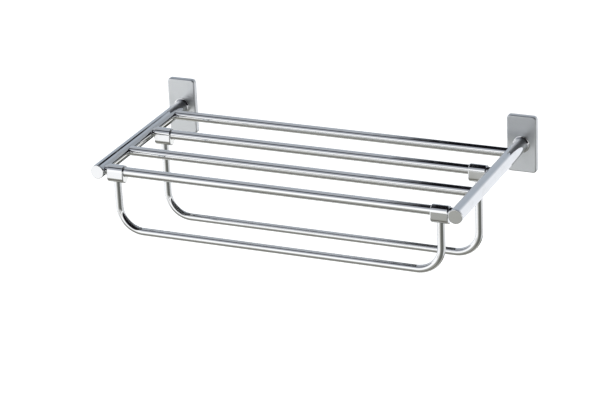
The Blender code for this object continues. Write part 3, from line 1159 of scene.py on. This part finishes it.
@dataclass(frozen=True)
class HangingRail(Packed):
    """A tube bent to a U, whose legs stand in two blocks."""

    pattern: ClassVar[str] = "{hanger}_rail"
    hanger: str
    bend: float = 0.039
    wall: float = 0.001
    bend_steps: int = 28
    sides: int = 64
    outside: float = 0.98

    @property
    def radius(self) -> float:
        """The tube's outer radius."""
        return self.room.half(OUT)

    @property
    def half_span(self) -> float:
        """The distance from the middle to a leg's axis."""
        return self.room.half(ALONG) - self.radius

    @property
    def floor(self) -> float:
        """The height of the lower run's axis."""
        return self.room.low.z + self.radius

    def stations(self) -> list[tuple[Vector, Vector]]:
        """Points along the axis from leg to leg, each with the way out of the U."""
        y = self.room.middle.y
        straight = self.half_span - self.bend
        right = [(Vector((self.half_span, y, self.room.high.z)), ALONG)]
        for across, down in quarter(self.bend_steps):
            way = Vector((across, 0, -down))
            right.append((Vector((straight, y, self.floor + self.bend)) + way * self.bend, way))
        mirror = Matrix.Diagonal((-1, 1, 1))
        return [(mirror @ point, mirror @ way) for point, way in right] + right[::-1]

    def axis_near(self, point: Vector) -> Vector:
        """The point on the tube's axis that is nearest to a point."""
        straight = self.half_span - self.bend
        side = 1 if point.x > 0 else -1
        if abs(point.x) <= straight:
            return Vector((point.x, self.room.middle.y, self.floor))
        if point.z >= self.floor + self.bend:
            return Vector((side * self.half_span, self.room.middle.y, point.z))
        centre = Vector((side * straight, self.room.middle.y, self.floor + self.bend))
        spoke = point - centre
        spoke.y = 0
        return centre + spoke.normalized() * self.bend

    def true_normal(self, point: Vector, normal: Vector) -> Vector | None:
        """The normal of the round tube, on its outside."""
        spoke = (point - self.axis_near(point)).normalized()
        return spoke if spoke.dot(normal) > self.outside else None

    def build(self, shop: Workshop) -> None:
        """Makes the rail."""
        rings = []
        stations = self.stations()
        for radius, run in ((self.radius, stations), (self.radius - self.wall, stations[::-1])):
            for centre, way in run:
                ring = []
                for k in range(self.sides):
                    angle = tau * k / self.sides
                    ring.append(centre + (way * cos(angle) + OUT * sin(angle)) * radius)
                rings.append(ring)
        mesh = skin(rings, Ends.JOINED)
        shade(mesh, self.true_normal)
        shop.place(f"{self.hanger}_towel_rail", mesh, "rail_chrome", self.node, f"{self.hanger}_hanger")


@dataclass(frozen=True)
class Hanger:
    """A rail and the two blocks that hang it from a shelf bar."""

    name: str
    bar: ShelfBar

    def build(self, shop: Workshop) -> None:
        """Makes the rail and both blocks."""
        HangingRail(self.name).build(shop)
        for side in SIDES:
            HangerBlock(self.name, side, self.bar).build(shop)


# ---------------------------------------------------------------------------------------------
# Studio
# ---------------------------------------------------------------------------------------------


@dataclass(frozen=True)
class View:
    """The camera: where it stands, which way it looks, in degrees, and how wide."""

    place: tuple[float, float, float] = (1.42757, -3.39195, 1.39778)
    yaw: float = 24.121
    pitch: float = 22.532
    roll: float = -2.565
    field: float = 13.756

    def build(self) -> None:
        """Makes the camera and gives it to the scene."""
        yaw, pitch, roll = radians(self.yaw), radians(self.pitch), radians(self.roll)
        forward = Vector((-sin(yaw) * cos(pitch), cos(yaw) * cos(pitch), -sin(pitch)))
        level = Vector((cos(yaw), sin(yaw), 0))
        raised = level.cross(forward)
        right = level * cos(roll) + raised * sin(roll)
        top = raised * cos(roll) - level * sin(roll)
        turn = Matrix((right, top, -forward)).transposed().to_4x4()
        lens = bpy.data.cameras.new("view")
        lens.angle = radians(self.field)
        lens.clip_start, lens.clip_end = 0.05, 60
        camera = bpy.data.objects.new("view", lens)
        camera.matrix_world = Matrix.Translation(self.place) @ turn
        bpy.context.scene.collection.objects.link(camera)
        bpy.context.scene.camera = camera
        LOG.info("camera: %.1f mm lens", lens.lens)


def towards(azimuth: float, elevation: float) -> Vector:
    """The direction at an azimuth, 0 straight out from the wall and 90 to the right, and an elevation."""
    turn, lift = radians(azimuth), radians(elevation)
    return Vector((sin(turn) * cos(lift), -cos(turn) * cos(lift), sin(lift)))


# How soft a strip's ends are, and the least part of a direction that still points at a card
END_SOFTNESS = 0.012
AHEAD = 0.001


def strip_group() -> Tree:
    """Where a long strip that runs along X covers the way looked in."""
    group = SurfaceGroup("studio_strip")
    way = group.takes("Way", "Vector")
    middle, half, left, right = group.takes_each("Float", "Middle", "Half", "Left", "Right")
    softness = group.takes("Softness")
    parts = group.node("ShaderNodeSeparateXYZ")
    group.feed(parts.inputs[0], way)
    turn = group.math("ARCTAN2", parts.outputs["Z"], parts.outputs["Y"])
    offset = group.math("ARCCOSINE", group.math("COSINE", group.math("SUBTRACT", turn, middle)))
    over = group.within(offset, half, softness)
    for edge, inwards in ((left, 1), (right, -1)):
        inner = group.math("MULTIPLY_ADD", inwards, END_SOFTNESS, edge)
        outer = group.math("MULTIPLY_ADD", -inwards, END_SOFTNESS, edge)
        over = group.math("MULTIPLY", over, group.step(parts.outputs["X"], outer, inner))
    group.gives("Mask", over)
    return group.tree


def disc_group() -> Tree:
    """Where a round card covers the way looked in."""
    group = SurfaceGroup("studio_disc")
    way, middle = group.takes_each("Vector", "Way", "Facing")
    radius, softness = group.takes_each("Float", "Radius", "Softness")
    offset = group.math("ARCCOSINE", group.vector("DOT_PRODUCT", way, middle))
    group.gives("Mask", group.within(offset, radius, softness))
    return group.tree


def card_group() -> Tree:
    """Where a flat rectangular card covers the way looked in."""
    group = SurfaceGroup("studio_card")
    way, middle, across, upright = group.takes_each("Vector", "Way", "Facing", "Across", "Upright")
    half_width, half_height, softness = group.takes_each("Float", "Half width", "Half height", "Softness")
    ahead = group.vector("DOT_PRODUCT", way, middle)
    nearest = group.math("MAXIMUM", ahead, AHEAD)
    mask = group.math("GREATER_THAN", ahead, AHEAD)
    for axis, half in ((across, half_width), (upright, half_height)):
        offset = group.math("ABSOLUTE", group.math("DIVIDE", group.vector("DOT_PRODUCT", way, axis), nearest))
        mask = group.math("MULTIPLY", mask, group.within(offset, half, softness))
    group.gives("Mask", mask)
    return group.tree


@dataclass(frozen=True)
class Strip:
    """A long light or screen that runs along X past the rack.

    Its middle and half are degrees about the X axis, from the wall's side at 0 over the top at 90 to
    the front at 180. Left and right are where it ends, as the X part of the direction to it.
    """

    name: str
    middle: float
    half: float
    softness: float
    colour: Colour
    left: float = -2.0
    right: float = 2.0

    def mask(self, wiring: Wiring, groups: Groups, way: Socket) -> Socket:
        """Where the strip covers the way looked in."""
        angles = {name: radians(getattr(self, name)) for name in ("middle", "half", "softness")}
        strip = wiring.group(groups["strip"], way=way, left=self.left, right=self.right, **angles)
        return strip.outputs["Mask"]


@dataclass(frozen=True)
class Disc:
    """A round light or screen, with its azimuth, elevation, radius and softness in degrees."""

    name: str
    azimuth: float
    elevation: float
    radius: float
    softness: float
    colour: Colour

    def mask(self, wiring: Wiring, groups: Groups, way: Socket) -> Socket:
        """Where the disc covers the way looked in."""
        centre = towards(self.azimuth, self.elevation)
        angles = {name: radians(getattr(self, name)) for name in ("radius", "softness")}
        return wiring.group(groups["disc"], way=way, facing=centre, **angles).outputs["Mask"]


@dataclass(frozen=True)
class Card:
    """A flat light or screen, with its azimuth, elevation, half sizes, softness and roll in degrees."""

    name: str
    azimuth: float
    elevation: float
    half_width: float
    half_height: float
    softness: float
    colour: Colour
    roll: float = 0.0

    def mask(self, wiring: Wiring, groups: Groups, way: Socket) -> Socket:
        """Where the card covers the way looked in."""
        centre = towards(self.azimuth, self.elevation)
        across = towards(self.azimuth + 90, 0)
        turn = Matrix.Rotation(radians(self.roll), 3, centre)
        names = ("half_width", "half_height", "softness")
        sizes = {name: tan(radians(getattr(self, name))) for name in names}
        across, upright = turn @ across, turn @ centre.cross(across)
        card = wiring.group(groups["card"], way=way, facing=centre, across=across, upright=upright, **sizes)
        return card.outputs["Mask"]


# Each one stands in front of those before it
STUDIO_CARDS: tuple[Strip | Disc | Card, ...] = (
    Strip("ceiling", 74, 42, 12, (0.46, 0.48, 0.515)),
    Strip("wall_low", -14, 20, 8, (0.80, 0.80, 0.79)),
    Strip("wall_glow", 16, 32, 16, (0.98, 0.99, 1.0)),
    Strip("floor_glow", 297, 36, 6, (0.50, 0.50, 0.46)),
    Strip("front_light", 176, 24, 6, (1.25, 1.25, 1.25)),
    Strip("front_flag", 112, 10, 5, (0.03, 0.035, 0.04)),
    Strip("low_flag", 248, 12, 9, (0.13, 0.125, 0.105)),
    Strip("overhead_flag", 72, 44, 4, (0.006, 0.006, 0.008), left=-0.338),
    Strip("dark_room", 143, 34, 4, (0.01, 0.01, 0.012), left=-0.25),
    Card("left_light", -103, -14, 43, 28, 5, (1.2, 1.2, 1.2)),
    Card("left_fill", -45, -21.5, 17.5, 4.5, 0.8, (1.15, 1.15, 1.15)),
    Card("right_flag", 40, -28, 34, 22, 6, (0.16, 0.165, 0.15)),
    Card("low_window", 27, -10, 6, 5, 1.5, (1.4, 1.4, 1.4)),
    Card("side_fill", 108, -20, 26, 24, 6, (0.80, 0.81, 0.82)),
    Disc("back_shade", 180, 0, 37, 1.5, (0.37, 0.395, 0.43)),
    Card("back_floor", 172, -34, 30, 20, 3, (0.06, 0.06, 0.045)),
    Card("back_side", 146, -24, 9, 8, 2, (1.1, 1.1, 1.08)),
    Disc("back_light", 180, 0, 31.8, 0.8, (1.0, 1.02, 1.06)),
    Card("back_screen", 207, 12, 29, 60, 17, (0.46, 0.505, 0.565), roll=27),
    Card("back_line", -164.1, 31.6, 11, 1.2, 0.5, (0.01, 0.01, 0.012), roll=-24),
    Disc("wall_light", 180, 0, 25.5, 2, (1.05, 1.05, 1.05)),
    Strip("block_flag", 74, 44, 3, (0.006, 0.006, 0.008), left=-0.3375, right=-0.25),
)


@dataclass(frozen=True)
class Studio:
    """A pale studio: a plain floor far below, and soft lights and screens all round."""

    floor_drop: float = 0.9
    floor_size: float = 14.0
    floor_roughness: float = 0.9
    floor_glow: float = 1.1
    sky: Colour = (0.45, 0.47, 0.52)
    ground: Colour = (0.40, 0.40, 0.37)
    backdrop: Colour = (1.0, 1.0, 1.0)

    def build(self) -> None:
        """Makes the light and the floor."""
        bpy.context.scene.view_settings.view_transform = "Standard"
        self.build_light()
        self.build_floor()

    def build_light(self) -> None:
        """Makes the light that the metal mirrors, in front of a white backdrop."""
        world = bpy.data.worlds.new("studio")
        bpy.context.scene.world = world
        world.use_nodes = True
        wiring = Wiring(world.node_tree)
        way = wiring.node("ShaderNodeTexCoord").outputs["Generated"]
        parts = wiring.node("ShaderNodeSeparateXYZ")
        wiring.feed(parts.inputs[0], way)
        light = wiring.mix(wiring.step(parts.outputs["Z"], -0.4, 0.4), (*self.ground, 1), (*self.sky, 1))
        groups = {"strip": strip_group(), "disc": disc_group(), "card": card_group()}
        for card in STUDIO_CARDS:
            light = wiring.mix(card.mask(wiring, groups, way), light, (*card.colour, 1))
        mirrored = world.node_tree.nodes["Background"]
        wiring.feed(mirrored.inputs["Color"], light)
        plain = wiring.node("ShaderNodeBackground")
        plain.inputs["Color"].default_value = (*self.backdrop, 1)
        seen_directly = wiring.node("ShaderNodeLightPath").outputs["Is Camera Ray"]
        surface = wiring.either(seen_directly, mirrored.outputs[0], plain.outputs[0])
        wiring.feed(world.node_tree.nodes["World Output"].inputs["Surface"], surface)

    def build_floor(self) -> None:
        """Makes the floor, which is clear from below."""
        mesh = bpy.data.meshes.new("studio_floor")
        half, height = self.floor_size / 2, -self.floor_drop
        corners = [(half * x, half * y, height) for x, y in ((-1, -1), (1, -1), (1, 1), (-1, 1))]
        mesh.from_pydata(corners, [], [(0, 1, 2, 3)])
        floor = bpy.data.objects.new("studio_floor", mesh)
        bpy.context.scene.collection.objects.link(floor)
        floor.visible_glossy = False
        finish = bpy.data.materials.new("pale_floor")
        finish.use_nodes = True
        wiring = Wiring(finish.node_tree)
        shader = finish.node_tree.nodes["Principled BSDF"]
        shader.inputs["Roughness"].default_value = self.floor_roughness
        place = wiring.node("ShaderNodeTexCoord").outputs["Object"]
        colour = wiring.mix(wiring.noise(place, 0.8, 2.0), (0.93, 0.93, 0.93, 1), (0.95, 0.95, 0.95, 1))
        wiring.feed(shader.inputs["Base Color"], colour)
        wiring.feed(shader.inputs["Emission Color"], colour)
        shader.inputs["Emission Strength"].default_value = self.floor_glow
        clear = wiring.node("ShaderNodeBsdfTransparent")
        below = wiring.node("ShaderNodeNewGeometry").outputs["Backfacing"]
        surface = wiring.either(below, shader.outputs[0], clear.outputs[0])
        wiring.feed(finish.node_tree.nodes["Material Output"].inputs["Surface"], surface)
        mesh.materials.append(finish)


# ---------------------------------------------------------------------------------------------


def main() -> None:
    """Builds the rack, its studio and the camera."""
    logging.basicConfig(level=logging.INFO, format="%(name)s: %(message)s")
    groups = {"plating": plating_group(), "polish": polish_group()}
    groups |= {"haze": haze_group(), "spangle": spangle_group()}
    shop = Workshop({finish.name: finish.material(groups) for finish in FINISHES})
    bars = {number: ShelfBar(number) for number in BARS}
    for side in SIDES:
        WallBracket(side).build(shop)
        WallCover(side).build(shop)
        Post(side).build(shop)
        Arm(side).build(shop)
    for bar in bars.values():
        bar.build(shop)
    for name, number in RAIL_BARS.items():
        Hanger(name, bars[number]).build(shop)
    Studio().build()
    View().build()


if __name__ == "__main__":
    main()
